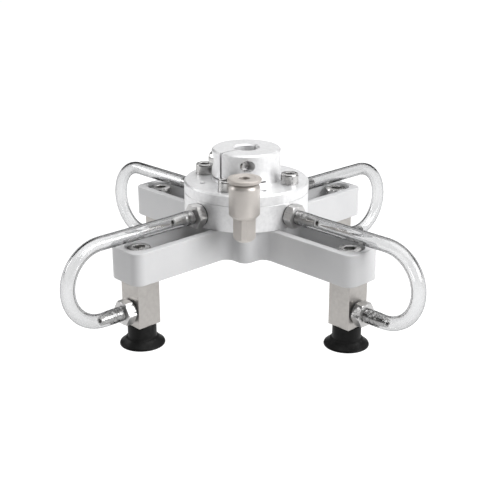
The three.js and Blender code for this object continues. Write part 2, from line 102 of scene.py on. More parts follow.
# Manifold and its ports
MANIFOLD_RADIUS = 36.2
PORT_FACE = 35.6
HOLDER_RADIUS = 80
BLOCK_SIDE = 14.5
BLOCK_FACE = HOLDER_RADIUS + BLOCK_SIDE / 2

# Hose barbs and tubes
HEX_ACROSS_FLATS = 12.6
HEX_END = 6.3
THREAD_INTO_MANIFOLD = 7.3
THREAD_INTO_BLOCK = 4.1
BARB_BORE = 1.35
BARB_END = 20.8
BARB_END_BACK = 18.6
TUBE_RADIUS = 4
TUBE_BORE = 2.9
TUBE_SKIN = 0.12  # how far the drawn tube stays inside its nominal radius
TUBE_CLEARANCE = 0.5
TUBE_STEPS = 72
TOOTH_STRETCH = 0.24  # how far the teeth of a barb widen the tube
TOOTH_PLACE = 5  # middle of the widened length, from the tube's end
TOOTH_WIDTH = 6
TUBE_SIDES = 48

# Elbow
ELBOW_DISTANCE = 47
ELBOW_TURN = -45
ELBOW_BOTTOM = 56.2
BARREL_BOTTOM = 70.7
BARREL_TOP = 89.3
COLLAR_BOTTOM = 90.3
COLLAR_TOP = 92.6

FRAME_BODY = "gripper_frame"
ELBOW_BODY = "inlet_elbow"
COLLAR_BODY = "inlet_release_collar"

ARMS = [
    {"name": "front_right", "turn": 0, "bend": 105},
    {"name": "back_right", "turn": 90, "bend": 101.5},
    {"name": "back_left", "turn": 180, "bend": 101.5},
    {"name": "front_left", "turn": 270, "bend": 105},
]


def turn_z(degrees):
    return Matrix.Rotation(math.radians(degrees), 4, "Z")


def shift(x, y, z):
    return Matrix.Translation((x, y, z))


ALONG_X = Matrix.Rotation(math.radians(90), 4, "Y")


# ---------------------------------------------------------------- camera


def make_camera():
    data = bpy.data.cameras.new("camera")
    data.sensor_width = CAMERA_SENSOR
    data.lens = CAMERA_LENS
    data.clip_start = 0.01
    camera = bpy.data.objects.new("camera", data)
    azimuth = math.radians(CAMERA_AZIMUTH)
    elevation = math.radians(CAMERA_ELEVATION)
    back = Vector(
        (
            math.sin(azimuth) * math.cos(elevation),
            -math.cos(azimuth) * math.cos(elevation),
            math.sin(elevation),
        )
    )
    camera.location = CAMERA_TARGET + back * CAMERA_DISTANCE
    camera.rotation_mode = "QUATERNION"
    camera.rotation_quaternion = (-back).to_track_quat("-Z", "Y")
    bpy.context.scene.collection.objects.link(camera)
    bpy.context.scene.camera = camera


make_camera()


# ---------------------------------------------------------------- materials


class Shader:
    """A Principled material with short helpers for procedural detail."""

    def __init__(self, name, **values):
        self.material = bpy.data.materials.new(name)
        self.material.use_nodes = True
        self.nodes = self.material.node_tree.nodes
        self.links = self.material.node_tree.links
        self.shader = self.nodes["Principled BSDF"]
        for key, value in values.items():
            self.shader.inputs[key.replace("_", " ")].default_value = value
        coordinates = self.nodes.new("ShaderNodeTexCoord")
        self.place = coordinates.outputs["Object"]

    def stretched(self, scale):
        mapping = self.nodes.new("ShaderNodeMapping")
        mapping.inputs["Scale"].default_value = scale
        self.links.new(self.place, mapping.inputs["Vector"])
        return mapping.outputs["Vector"]

    def noise(self, scale, detail=4, roughness=0.5, vector=None):
        node = self.nodes.new("ShaderNodeTexNoise")
        node.inputs["Scale"].default_value = scale
        node.inputs["Detail"].default_value = detail
        node.inputs["Roughness"].default_value = roughness
        self.links.new(vector or self.place, node.inputs["Vector"])
        return node.outputs["Fac"]

    def ranged(self, value, low, high, start=0.3, end=0.7):
        node = self.nodes.new("ShaderNodeMapRange")
        node.inputs["From Min"].default_value = start
        node.inputs["From Max"].default_value = end
        node.inputs["To Min"].default_value = low
        node.inputs["To Max"].default_value = high
        self.links.new(value, node.inputs["Value"])
        return node.outputs["Result"]

    def mixed(self, factor, first, second):
        node = self.nodes.new("ShaderNodeMix")
        node.data_type = "RGBA"
        node.inputs["A"].default_value = (*first, 1)
        node.inputs["B"].default_value = (*second, 1)
        self.links.new(factor, node.inputs["Factor"])
        return node.outputs["Result"]

    def worn(self, colour, worn_colour, low=0.53, high=0.62):
        """Mixes worn_colour into a colour output on convex edges, unevenly along them."""
        geometry = self.nodes.new("ShaderNodeNewGeometry")
        edges = self.ranged(geometry.outputs["Pointiness"], 0, 1, low, high)
        uneven = self.nodes.new("ShaderNodeMath")
        uneven.operation = "MULTIPLY"
        self.links.new(edges, uneven.inputs[0])
        self.links.new(self.ranged(self.noise(500, 3), 0.25, 1), uneven.inputs[1])
        node = self.nodes.new("ShaderNodeMix")
        node.data_type = "RGBA"
        self.links.new(colour, node.inputs["A"])
        node.inputs["B"].default_value = (*worn_colour, 1)
        self.links.new(uneven.outputs["Value"], node.inputs["Factor"])
        return node.outputs["Result"]

    def bump(self, height, strength, distance, under=None):
        node = self.nodes.new("ShaderNodeBump")
        node.inputs["Strength"].default_value = strength
        node.inputs["Distance"].default_value = distance
        self.links.new(height, node.inputs["Height"])
        if under:
            self.links.new(under, node.inputs["Normal"])
        return node.outputs["Normal"]

    def feed(self, name, output):
        self.links.new(output, self.shader.inputs[name])
        return self


def blasted_metal(name, light, dark, roughness, grain=2600, metallic=1.0):
    """Metal with a fine blasted grain, a faint cloud in its colour and uneven gloss."""
    made = Shader(name, Metallic=metallic)
    cloud = made.noise(38, 5, 0.6)
    colour = made.mixed(made.ranged(cloud, 0, 1), dark, light)
    made.feed("Base Color", made.worn(colour, tuple(min(1.0, c * 1.12) for c in light)))
    fine = made.noise(grain, 2, 0.6)
    made.feed("Roughness", made.ranged(cloud, roughness - 0.04, roughness + 0.05))
    made.feed("Normal", made.bump(fine, 0.16, 0.00005))
    return made.material


def turned_metal(name, light, dark, roughness, metallic=1.0):
    """Plated metal with faint marks from turning."""
    made = Shader(name, Metallic=metallic)
    cloud = made.noise(120, 4, 0.55)
    colour = made.mixed(made.ranged(cloud, 0, 1), dark, light)
    made.feed("Base Color", made.worn(colour, tuple(min(1.0, c * 1.2) for c in light)))
    lines = made.noise(900, 3, 0.5, made.stretched((0.15, 0.15, 3)))
    made.feed("Roughness", made.ranged(lines, roughness - 0.03, roughness + 0.06))
    made.feed("Normal", made.bump(lines, 0.06, 0.00004))
    return made.material


def rubber(name, colour, roughness):
    """Moulded rubber: fine texture, a trace of pale bloom and a soft gloss."""
    made = Shader(name, Specular_IOR_Level=0.14)
    bloom = made.ranged(made.noise(160, 5, 0.65), 0, 1, 0.45, 0.75)
    pale = tuple(c * 1.6 + 0.004 for c in colour)
    made.feed("Base Color", made.worn(made.mixed(bloom, colour, pale), (0.03, 0.03, 0.03)))
    made.feed("Roughness", made.ranged(made.noise(420, 3), roughness - 0.07, roughness + 0.09))
    made.feed("Normal", made.bump(made.noise(2400, 3), 0.12, 0.00005))
    return made.material


def nylon(name):
    made = Shader(name, Subsurface_Weight=0.1)
    cloud = made.ranged(made.noise(300, 3), 0, 1)
    colour = made.mixed(cloud, (0.05, 0.05, 0.05), (0.075, 0.075, 0.075))
    made.feed("Base Color", made.worn(colour, (0.12, 0.12, 0.12)))
    made.feed("Roughness", made.ranged(made.noise(700, 2), 0.42, 0.56))
    made.feed("Normal", made.bump(made.noise(1800, 2), 0.08, 0.00004))
    return made.material


# Grey coat tint on the tube's outer skin: painted shade, darkest where the surface is seen
# slanting, at the tube's edges.
TUBE_PAINTED_EDGE_SHADE = (0.83, 0.831, 0.833, 1)


def clear_plastic(name, coat):
    """Clear soft tube: slight waviness, small differences in gloss, and a grey coat tint, painted
    shade that is darkest at the tube's edges.
    """
    made = Shader(name, Transmission_Weight=1.0, IOR=1.46, Coat_Weight=coat, Coat_IOR=1.0)
    made.shader.inputs["Coat Tint"].default_value = TUBE_PAINTED_EDGE_SHADE
    tint = made.ranged(made.noise(60, 2), 0, 1)
    made.feed("Base Color", made.mixed(tint, (0.985, 0.988, 0.99), (1.0, 1.0, 1.0)))
    made.feed("Roughness", made.ranged(made.noise(140, 3), 0.02, 0.05))
    made.feed("Normal", made.bump(made.noise(60, 2), 0.03, 0.0001))
    return made.material


MATERIALS = {
    # One anodised aluminium in two copies: a lighter one (painted light) for the hub, cover and
    # manifold, and a darker, less metallic one (painted shade) for the cross plate.
    "anodised_aluminium": blasted_metal(
        "aluminium_painted_lighter", (0.7, 0.7, 0.705), (0.65, 0.652, 0.66), 0.4, metallic=0.6
    ),
    "plate_aluminium_painted_darker": blasted_metal(
        "plate_aluminium_painted_darker", (0.53, 0.53, 0.535), (0.485, 0.487, 0.495), 0.5, metallic=0.06
    ),
    "block_nickel": blasted_metal(
        "block_nickel", (0.38, 0.365, 0.35), (0.34, 0.325, 0.31), 0.38, 1800
    ),
    "satin_nickel": turned_metal(
        "satin_nickel", (0.54, 0.508, 0.48), (0.48, 0.452, 0.425), 0.38, 0.5
    ),
    "collar_nickel": blasted_metal(
        "collar_nickel", (0.47, 0.435, 0.405), (0.42, 0.39, 0.36), 0.4, 1800, metallic=0.45
    ),
    "bright_nickel": turned_metal(
        "bright_nickel", (0.54, 0.535, 0.53), (0.47, 0.465, 0.46), 0.3, 0.8
    ),
    "screw_steel": turned_metal("screw_steel", (0.56, 0.555, 0.55), (0.42, 0.415, 0.41), 0.27),
    "cup_rubber": rubber("cup_rubber", (0.004, 0.004, 0.004), 0.46),
    "rubber": rubber("seal_rubber", (0.014, 0.014, 0.014), 0.55),
    "washer_nylon": nylon("washer_nylon"),
    # The outer skin takes the full coat of painted edge shade and the bore takes none.
    "clear_tube": clear_plastic("clear_tube", 1.0),
    "clear_bore": clear_plastic("clear_bore", 0.0),
}

SHARP = math.radians(32)


def finish_piece(name, mesh, slot, body, replaces, sharp=SHARP, look=None):
    """Gives a new mesh its material and rides it on its body in place of its CAD node."""
    mesh.materials.clear()
    mesh.materials.append(MATERIALS[look or slot])
    mesh.shade_smooth()
    mesh.set_sharp_from_angle(angle=sharp)
    piece = bpy.data.objects.new(name, mesh)
    bpy.context.scene.collection.objects.link(piece)
    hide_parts(*replaces)
    if body:
        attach(piece, body)
    return piece


# ---------------------------------------------------------------- mesh helpers


def mesh_of(points, faces, matrix=None):
    """A mesh in metres from points in millimetres, with its normals facing out."""
    mesh = bpy.data.meshes.new("made")
    placed = [(matrix @ Vector(p) if matrix else Vector(p)) * MM for p in points]
    mesh.from_pydata(placed, [], faces)
    made = bmesh.new()
    made.from_mesh(mesh)
    bmesh.ops.remove_doubles(made, verts=made.verts, dist=1e-7)
    bmesh.ops.recalc_face_normals(made, faces=made.faces)
    made.to_mesh(mesh)
    made.free()
    return mesh


def loft(rings, closed=False, caps=True, matrix=None):
    """A skin over rings of equal size. closed joins the last ring to the first."""
    count = len(rings[0])
    points = [p for ring in rings for p in ring]
    faces = []
    pairs = len(rings) if closed else len(rings) - 1
    for i in range(pairs):
        a, b = i * count, ((i + 1) % len(rings)) * count
        for j in range(count):
            k = (j + 1) % count
            faces.append((a + j, a + k, b + k, b + j))
    if caps and not closed:
        faces.append(tuple(range(count))[::-1])
        faces.append(tuple(range(len(points) - count, len(points))))
    return mesh_of(points, faces, matrix)


def softened(profile, radius=0.25, steps=3, closed=False):
    """The profile with each corner rounded to at most that radius."""
    count = len(profile)
    out = []
    for i, (x, y) in enumerate(profile):
        if not closed and i in (0, count - 1):
            out.append((x, y))
            continue
        here = Vector((x, y))
        before = Vector(profile[i - 1]) - here
        after = Vector(profile[(i + 1) % count]) - here
        angle = before.angle(after, math.pi)
        if angle > math.radians(165):
            out.append((x, y))
            continue
        reach = min(radius / math.tan(angle / 2), before.length * 0.45, after.length * 0.45)
        start = here + before.normalized() * reach
        end = here + after.normalized() * reach
        for s in range(steps + 1):
            t = s / steps
            point = start * (1 - t) ** 2 + here * 2 * t * (1 - t) + end * t * t
            out.append((point.x, point.y))
    return out


def turned(profile, sides=64, closed=False, matrix=None):
    """A profile of (radius, height) turned about Z. closed is a ring section."""
    rings = []
    for radius, height in profile:
        r = max(radius, 0.0)
        rings.append(
            [
                (
                    r * math.cos(2 * math.pi * j / sides),
                    r * math.sin(2 * math.pi * j / sides),
                    height,
                )
                for j in range(sides)
            ]
        )
    return loft(rings, closed=closed, caps=False, matrix=matrix)


def hexagon_radius(angle, across_flats):
    """Distance from the middle of a hexagon to its edge, with a flat facing angle 0."""
    third = math.pi / 3
    return across_flats / 2 / math.cos((angle + third / 2) % third - third / 2)


def arc(centre, radius, start, end, steps):
    out = []
    for i in range(steps + 1):
        angle = math.radians(start + (end - start) * i / steps)
        out.append((centre[0] + radius * math.cos(angle), centre[1] + radius * math.sin(angle)))
    return out


def inset(outline, distance):
    """A closed counterclockwise outline moved inwards by distance."""
    points = [Vector(p) for p in outline]
    out = []
    for i, here in enumerate(points):
        before = (here - points[i - 1]).normalized()
        after = (points[(i + 1) % len(points)] - here).normalized()
        normal = Vector((-before.y - after.y, before.x + after.x)).normalized()
        share = max(0.5, normal.dot(Vector((-before.y, before.x))))
        out.append(tuple(here + normal * distance / share))
    return out


def level(outline, height):
    return [(x, y, height) for x, y in outline]


# Cutting: a base mesh with cutters taken away, and its edges broken by a small bevel


def object_of(mesh):
    made = bpy.data.objects.new("working", mesh)
    bpy.context.scene.collection.objects.link(made)
    return made


def baked(made):
    """The object's mesh with its modifiers applied. The object is removed."""
    evaluated = made.evaluated_get(bpy.context.evaluated_depsgraph_get())
    mesh = bpy.data.meshes.new_from_object(evaluated)
    bpy.data.objects.remove(made)
    return mesh


def carved(mesh, cutters, bevel=0.2, segments=2):
    """The mesh less its cutters, each taken away in turn, with beveled edges."""
    base = object_of(mesh)
    tools = [object_of(cutter) for cutter in cutters]
    for tool in tools:
        cut = base.modifiers.new("cut", "BOOLEAN")
        cut.operation = "DIFFERENCE"
        cut.solver = "EXACT"
        cut.object = tool
    if bevel:
        edge = base.modifiers.new("edge", "BEVEL")
        edge.width = bevel * MM
        edge.segments = segments
        edge.limit_method = "ANGLE"
        edge.angle_limit = math.radians(40)
        edge.harden_normals = False
        edge.miter_outer = "MITER_ARC"
    made = baked(base)
    for tool in tools:
        bpy.data.objects.remove(tool)
    return made


def box(low, high):
    xs, ys, zs = zip(low, high)
    points = [(x, y, z) for z in zs for y in ys for x in xs]
    faces = [
        (0, 2, 3, 1),
        (4, 5, 7, 6),
        (0, 1, 5, 4),
        (2, 6, 7, 3),
        (0, 4, 6, 2),
        (1, 3, 7, 5),
    ]
    return mesh_of(points, faces)


def rod(radius, low, high, matrix=None, sides=48):
    return turned([(0, low), (radius, low), (radius, high), (0, high)], sides, matrix=matrix)


def around(radius, turn):
    """Four matrices that repeat something on a circle round Z."""
    return [turn_z(turn + 90 * i) @ shift(radius, 0, 0) for i in range(4)]


# ---------------------------------------------------------------- air tubes


def tube_route(bend_start, steps):
    """Evenly spaced (x, z) points and directions of a tube's centreline on the +X arm."""
    radius = (PORT_HEIGHT - BLOCK_PORT_HEIGHT) / 2
    middle = (PORT_HEIGHT + BLOCK_PORT_HEIGHT) / 2
    start = PORT_FACE + HEX_END + TUBE_CLEARANCE
    end = BLOCK_FACE + HEX_END + TUBE_CLEARANCE
    out, bend, back = bend_start - start, math.pi * radius, bend_start - end
    route = []
    for i in range(steps + 1):
        travelled = (out + bend + back) * i / steps
        if travelled <= out:
            route.append((start + travelled, PORT_HEIGHT, 0.0))
        elif travelled >= out + bend:
            route.append((bend_start - (travelled - out - bend), BLOCK_PORT_HEIGHT, math.pi))
        else:
            angle = (travelled - out) / radius
            x = bend_start + radius * math.sin(angle)
            route.append((x, middle + radius * math.cos(angle), angle))
    return route, out + bend + back


def tube_ring(x, z, angle, radius):
    """A ring square to a direction that dips by angle from +X."""
    ring = []
    for j in range(TUBE_SIDES):
        around_line = 2 * math.pi * j / TUBE_SIDES
        side, up = radius * math.cos(around_line), radius * math.sin(around_line)
        ring.append((x + up * math.sin(angle), side, z + up * math.cos(angle)))
    return ring


def air_tube(arm):
    route, length = tube_route(arm["bend"], TUBE_STEPS)
    outer, inner = [], []
    for i, (x, z, angle) in enumerate(route):
        from_end = min(i, TUBE_STEPS - i) * length / TUBE_STEPS
        wide = TOOTH_STRETCH * math.exp(-(((from_end - TOOTH_PLACE) / TOOTH_WIDTH) ** 2))
        outer.append(tube_ring(x, z, angle, TUBE_RADIUS - TUBE_SKIN + wide))
        inner.append(tube_ring(x, z, angle, TUBE_BORE + wide))
    mesh = loft(outer + inner[::-1], closed=True, matrix=turn_z(arm["turn"]))
    name = f"air_tube_{arm['name']}"
    piece = finish_piece(f"clear_{name}", mesh, "clear_tube", None, [name])
    mesh.materials.append(MATERIALS["clear_bore"])
    in_bore = len(outer) * TUBE_SIDES
    for face in mesh.polygons:
        if max(face.vertices) >= in_bore:
            face.material_index = 1
    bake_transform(piece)


for arm in ARMS:
    air_tube(arm)


# ---------------------------------------------------------------- clamp hub and cover


def hub_and_cover():
    profile = [
        (0, MANIFOLD_TOP),
        (FLANGE_RADIUS - 0.2, MANIFOLD_TOP),
        (FLANGE_RADIUS, MANIFOLD_TOP + 0.2),
        (FLANGE_RADIUS, COVER_TOP - 1.0),
        (FLANGE_RADIUS - 0.9, COVER_TOP),
        (HUB_RADIUS + 0.3, COVER_TOP),
        (HUB_RADIUS, COVER_TOP + 0.3),
        (HUB_RADIUS, HUB_TOP - 1.0),
        (HUB_RADIUS - 0.9, HUB_TOP),
        (0, HUB_TOP),
    ]
    bore = [
        (0, MANIFOLD_TOP - 1),
        (BORE_RADIUS, MANIFOLD_TOP - 1),
        (BORE_RADIUS, HUB_TOP - 0.8),
        (BORE_RADIUS + 1.8, HUB_TOP + 1),
        (0, HUB_TOP + 1),
    ]
    clamp = shift(0, CLAMP_Y, CLAMP_Z) @ ALONG_X
    small = [(0, COVER_TOP - 5), (1.65, COVER_TOP - 5), (1.65, COVER_TOP - 0.3)]
    small += [(2.2, COVER_TOP + 0.25), (0, COVER_TOP + 0.25)]
    return carved(
        turned(profile, 160),
        [
            turned(bore, 96),
            box((-SLIT_WIDTH / 2, -25, KERF_TOP - 0.5), (SLIT_WIDTH / 2, 0, HUB_TOP + 1)),
            box((-25, -25, KERF_BOTTOM), (25, KERF_STOP, KERF_TOP)),
            box((-0.6, 0, COVER_TOP), (0.6, BORE_RADIUS + 2, HUB_TOP + 1)),
            rod(5.5, -25, -CLAMP_SEAT, clamp),
            rod(3.2, -20, 25, clamp),
            *[
                turned(small, 24, matrix=m)
                for m in around(COVER_SCREW_CIRCLE, COVER_SCREW_TURN + 45)
            ],
            *[
                rod(3.3, MANIFOLD_TOP - 1, COVER_TOP + 1, m, 32)
                for m in around(COVER_SCREW_CIRCLE, COVER_SCREW_TURN)
            ],
        ],
        bevel=0.14,
    )


finish_piece(
    "clamp_hub_and_cover",
    hub_and_cover(),
    "anodised_aluminium",
    FRAME_BODY,
    ["hub_flange"],
)


# ---------------------------------------------------------------- manifold


def manifold():
    profile = [
        (0, PLATE_TOP),
        (MANIFOLD_RADIUS - 0.4, PLATE_TOP),
        (MANIFOLD_RADIUS, PLATE_TOP + 0.4),
        (MANIFOLD_RADIUS, MANIFOLD_TOP - 0.4),
        (MANIFOLD_RADIUS - 0.4, MANIFOLD_TOP),
        (0, MANIFOLD_TOP),
    ]
    cutters = [
        turned(
            [
                (13, PLATE_TOP + 3.6),
                (19, PLATE_TOP + 3.6),
                (19, MANIFOLD_TOP + 1),
                (13, MANIFOLD_TOP + 1),
            ],
            96,
            closed=True,
        )
    ]
    for low in (9.6, 20.4):
        section = [
            (low, MANIFOLD_TOP - 1.2),
            (low + 1.8, MANIFOLD_TOP - 1.2),
            (low + 1.8, MANIFOLD_TOP + 1),
            (low, MANIFOLD_TOP + 1),
        ]
        cutters.append(turned(section, 96, closed=True))
    for turn, thread in [(a["turn"], 4.2) for a in ARMS] + [(ELBOW_TURN, 4.9)]:
        place = turn_z(turn) @ shift(PORT_FACE, 0, PORT_HEIGHT) @ ALONG_X
        port = [
            (0, -18),
            (2.2, -18),
            (2.2, -7.6),
            (thread, -7.6),
            (thread, 0),
            (6.45, 0),
            (6.45, 3),
            (0, 3),
        ]
        cutters.append(turned(port, 48, matrix=place))
    cutters += [
        rod(3.3, COVER_TOP - 17, MANIFOLD_TOP + 1, m, 32)
        for m in around(COVER_SCREW_CIRCLE, COVER_SCREW_TURN)
    ]
    return carved(turned(profile, 160), cutters, bevel=0.12)


finish_piece("air_manifold", manifold(), "anodised_aluminium", FRAME_BODY, ["manifold_body"])


# ---------------------------------------------------------------- cross plate


def plate_outline():
    """Four arms with rounded ends on a square centre, with hollow fillets between."""
    fillet_x, fillet_y = CENTRE_HALF_WIDTH + FILLET_RADIUS, ARM_HALF_WIDTH + FILLET_RADIUS
    end_x, end_y = ARM_END - ARM_CORNER, ARM_HALF_WIDTH - ARM_CORNER
    inner = CENTRE_HALF_WIDTH - CENTRE_CORNER
    quarter = (
        arc((end_x, -end_y), ARM_CORNER, -90, 0, 12)
        + arc((end_x, end_y), ARM_CORNER, 0, 90, 12)
        + arc((fillet_x, fillet_y), FILLET_RADIUS, 270, 180, 16)
        + arc((inner, inner), CENTRE_CORNER, 0, 90, 16)
        + arc((fillet_y, fillet_x), FILLET_RADIUS, 270, 180, 16)
    )
    out = []
    for turns in range(4):
        c, s = ((1, 0), (0, 1), (-1, 0), (0, -1))[turns]
        out += [(c * x - s * y, s * x + c * y) for x, y in quarter]
    return out


def slot_outline(half_width):
    outer = arc((SLOT_END, 0), half_width, -90, 90, 24)
    return outer + arc((SLOT_START, 0), half_width, 90, 270, 24)


def cross_plate():
    outline = plate_outline()
    chamfer = 0.3
    bottom = PLATE_BOTTOM - 0.25
    base = loft(
        [
            level(inset(outline, chamfer), bottom),
            level(outline, bottom + chamfer),
            level(outline, PLATE_TOP - chamfer),
            level(inset(outline, chamfer), PLATE_TOP),
        ]
    )
    wide, narrow = slot_outline(SLOT_WIDE), slot_outline(SLOT_NARROW)
    slot = [
        level(narrow, PLATE_BOTTOM - 1),
        level(narrow, PLATE_TOP - SLOT_STEP_DEPTH),
        level(wide, PLATE_TOP - SLOT_STEP_DEPTH),
        level(wide, PLATE_TOP - 0.35),
        level(slot_outline(SLOT_WIDE + 1.15), PLATE_TOP + 0.8),
    ]
    holes = [(0, PLATE_BOTTOM - 1), (3.8, PLATE_BOTTOM - 1), (3.8, PLATE_BOTTOM + 5)]
    holes += [(2.3, PLATE_BOTTOM + 5), (2.3, PLATE_TOP + 1), (0, PLATE_TOP + 1)]
    return carved(
        base,
        [loft(slot, matrix=turn_z(arm["turn"])) for arm in ARMS]
        + [turned(holes, 32, matrix=m) for m in around(PLATE_SCREW_CIRCLE, 45)],
        bevel=0.15,
    )


# The cross plate takes the darker copy of the aluminium, which is painted shade.
finish_piece(
    "slotted_cross_plate",
    cross_plate(),
    "anodised_aluminium",
    FRAME_BODY,
    ["cross_plate"],
    look="plate_aluminium_painted_darker",
)


# ---------------------------------------------------------------- screws

SCREW_SIDES = 96
KNURL_DEPTH = 0.09


def cap_screw(shank, length, head, height, socket, matrix):
    """A cap screw standing on z = 0, with a knurled head, a hexagon socket and a thread."""

    def circle(radius, z, knurl=False):
        ring = []
        for j in range(SCREW_SIDES):
            angle = 2 * math.pi * j / SCREW_SIDES
            r = radius - (KNURL_DEPTH if knurl and j % 2 else 0)
            ring.append((r * math.cos(angle), r * math.sin(angle), z))
        return ring

    def hexagon(across, z):
        ring = []
        for j in range(SCREW_SIDES):
            angle = 2 * math.pi * j / SCREW_SIDES
            r = hexagon_radius(angle, across)
            ring.append((r * math.cos(angle), r * math.sin(angle), z))
        return ring

    edge = 0.1 * height
    pitch = 0.27 * shank
    rings = [circle(0, -length), circle(shank - 0.6, -length), circle(shank, 0.6 - length)]
    turns = int((length * 0.75) / pitch)
    for i in range(turns):
        low = 0.6 - length + i * pitch
        rings += [circle(shank, low + pitch * 0.1), circle(shank * 0.88, low + pitch * 0.55)]
    rings += [
        circle(shank, 0.6 - length + turns * pitch),
        circle(shank, 0),
        circle(head - 0.25, 0),
        circle(head, 0.25),
        circle(head, 0.5, True),
        circle(head, height - edge - 0.5, True),
        circle(head, height - edge - 0.2),
        circle(head - edge * 0.35, height - edge * 0.3),
        circle(head - edge, height),
        hexagon(socket * 1.12, height),
        hexagon(socket, height - 0.25),
        hexagon(socket, height * 0.6),
        circle(0, height * 0.6 - socket * 0.1),
    ]
    return loft(rings, caps=False, matrix=matrix)


M4 = {"shank": 2, "head": 3.5, "height": 4, "socket": 3}
M6 = {"shank": 3, "head": 5, "height": 6, "socket": 5}
M8 = {"shank": 4, "head": 6.5, "height": 8, "socket": 6}


def screw(name, size, length, matrix, body):
    mesh = cap_screw(matrix=matrix, length=length, **size)
    finish_piece(f"steel_{name}", mesh, "screw_steel", body, [name], math.radians(25))


for i, place in enumerate(around(COVER_SCREW_CIRCLE, COVER_SCREW_TURN)):
    spin = turn_z(17 * i + 6)
    screw(f"cover_screw_{i + 1}", M6, 16, place @ shift(0, 0, COVER_TOP) @ spin, FRAME_BODY)

under = Matrix.Rotation(math.pi, 4, "X")
for i, place in enumerate(around(PLATE_SCREW_CIRCLE, 45)):
    seat = shift(0, 0, PLATE_BOTTOM + 4.85)
    screw(f"plate_screw_{i + 1}", M4, 20, place @ seat @ under, FRAME_BODY)

clamp_place = shift(-CLAMP_SEAT - 0.15, CLAMP_Y, CLAMP_Z) @ Matrix.Rotation(-math.pi / 2, 4, "Y")
screw("clamp_screw", M6, 20, clamp_place, FRAME_BODY)

for i, arm in enumerate(ARMS):
    place = turn_z(arm["turn"]) @ shift(HOLDER_RADIUS, 0, PLATE_TOP - 8.7) @ turn_z(11 + 23 * i)
    screw(f"slot_screw_{arm['name']}", M8, 20, place, f"{arm['name']}_holder")


# ---------------------------------------------------------------- hose barbs and washers

BARB_SIDES = 72


def spigot_profile(end):
    """Plain neck and two steep-backed teeth, then the tapered end."""
    profile = [
        (3.1, HEX_END),
        (3.1, 9.4),
        (2.75, 9.8),
        (2.75, 10.6),
        (3.2, 11.2),
        (3.2, 12.2),
        (2.8, 13.4),
        (3.1, 13.9),
        (3.1, 14.9),
        (2.5, end),
    ]
    return softened(profile, 0.15, 3)


def hose_barb(matrix, thread_length, end):
    """Thread, chamfered hexagon and toothed spigot round one bore."""

    def circle(radius, z):
        return [
            (
                radius * math.cos(2 * math.pi * j / BARB_SIDES),
                radius * math.sin(2 * math.pi * j / BARB_SIDES),
                z,
            )
            for j in range(BARB_SIDES)
        ]

    def hexagon(z, cone):
        ring = []
        for j in range(BARB_SIDES):
            angle = 2 * math.pi * j / BARB_SIDES
            r = min(hexagon_radius(angle, HEX_ACROSS_FLATS), cone)
            ring.append((r * math.cos(angle), r * math.sin(angle), z))
        return ring

    rings = [circle(BARB_BORE, -thread_length), circle(3.9, -thread_length), circle(3.9, 0.9)]
    for z, cone in ((0.9, 6.3), (1.1, 6.6), (1.35, 7.28), (5.95, 7.28), (6.2, 6.7), (6.3, 6.2)):
        rings.append(hexagon(z, cone))
    rings += [circle(r, z) for r, z in spigot_profile(end)]
    rings.append(circle(BARB_BORE, end))
    return loft(rings, closed=True, matrix=matrix)


def washer(matrix):
    section = softened([(4.2, 0.05), (6.3, 0.05), (6.3, 0.85), (4.2, 0.85)], 0.15, 2, True)
    return turned(section, 64, closed=True, matrix=matrix)


# ---------------------------------------------------------------- blocks and cups


def vacuum_block(place):
    half, top = BLOCK_SIDE / 2, PLATE_BOTTOM - 0.3
    body = box((-half, -half, CUP_HEIGHT), (half, half, top))
    port = [(0, -half), (2.2, -half), (2.2, -4.4), (4.2, -4.4), (4.2, 1), (0, 1)]
    below = [(0, 21.5), (2.2, 21.5), (2.2, 16.3), (3.2, 16.3), (3.2, 11), (0, 11)]
    mesh = carved(
        body,
        [
            turned(port, 32, matrix=shift(half, 0, BLOCK_PORT_HEIGHT) @ ALONG_X),
            turned(below, 32),
            rod(4.3, 27.4, top + 1, sides=40),
        ],
        bevel=0.3,
        segments=3,
    )
    key = carved(box((-half, -4.2, top), (2.3 - half, 4.2, top + 4)), [], 0.3, 2)
    joined = bmesh.new()
    joined.from_mesh(mesh)
    joined.from_mesh(key)
    joined.transform(place)
    joined.to_mesh(mesh)
    joined.free()
    return mesh


CUP_PROFILE = softened(
    [
        (11.75, 0.0),
        (12.5, 0.0),
        (12.62, 0.55),
        (12.3, 1.25),
        (11.2, 1.95),
        (10.3, 2.75),
        (9.5, 3.6),
        (9.1, 4.15),
        (8.6, 4.4),
        (8.15, 4.75),
        (8.0, 5.4),
        (8.0, 12.25),
        (5.0, 12.25),
        (5.0, 8.7),
        (6.2, 8.7),
        (6.2, 6.1),
        (5.0, 6.1),
        (5.0, 3.9),
        (6.2, 3.8),
        (6.2, 3.3),
        (7.0, 3.3),
        (7.0, 3.6),
        (8.2, 3.2),
        (8.2, 2.8),
        (9.0, 2.6),
        (10.6, 1.2),
    ],
    0.3,
    3,
    True,
)

NIPPLE_PROFILE = [
    (4.7, 6.4),
    (5.9, 6.6),
    (5.9, 8.4),
    (4.7, 8.4),
    (4.7, 12.25),
    (2.9, 12.25),
    (2.9, 16.0),
    (1.4, 16.0),
]


def cup_nipple(matrix):
    """A nipple with a hexagon socket in its lower end, for the key that screws it in."""

    def circle(radius, z):
        return [
            (radius * math.cos(2 * math.pi * j / 48), radius * math.sin(2 * math.pi * j / 48), z)
            for j in range(48)
        ]

    def hexagon(across, z):
        return [
            (
                hexagon_radius(2 * math.pi * j / 48, across) * math.cos(2 * math.pi * j / 48),
                hexagon_radius(2 * math.pi * j / 48, across) * math.sin(2 * math.pi * j / 48),
                z,
            )
            for j in range(48)
        ]

    rings = [circle(1.4, 7), hexagon(4, 7), hexagon(4, 4.4), hexagon(4.3, 4.2)]
    rings += [circle(4.4, 4.2), circle(4.7, 4.5)]
    rings += [circle(r, z) for r, z in NIPPLE_PROFILE]
    return loft(rings, closed=True, matrix=matrix)


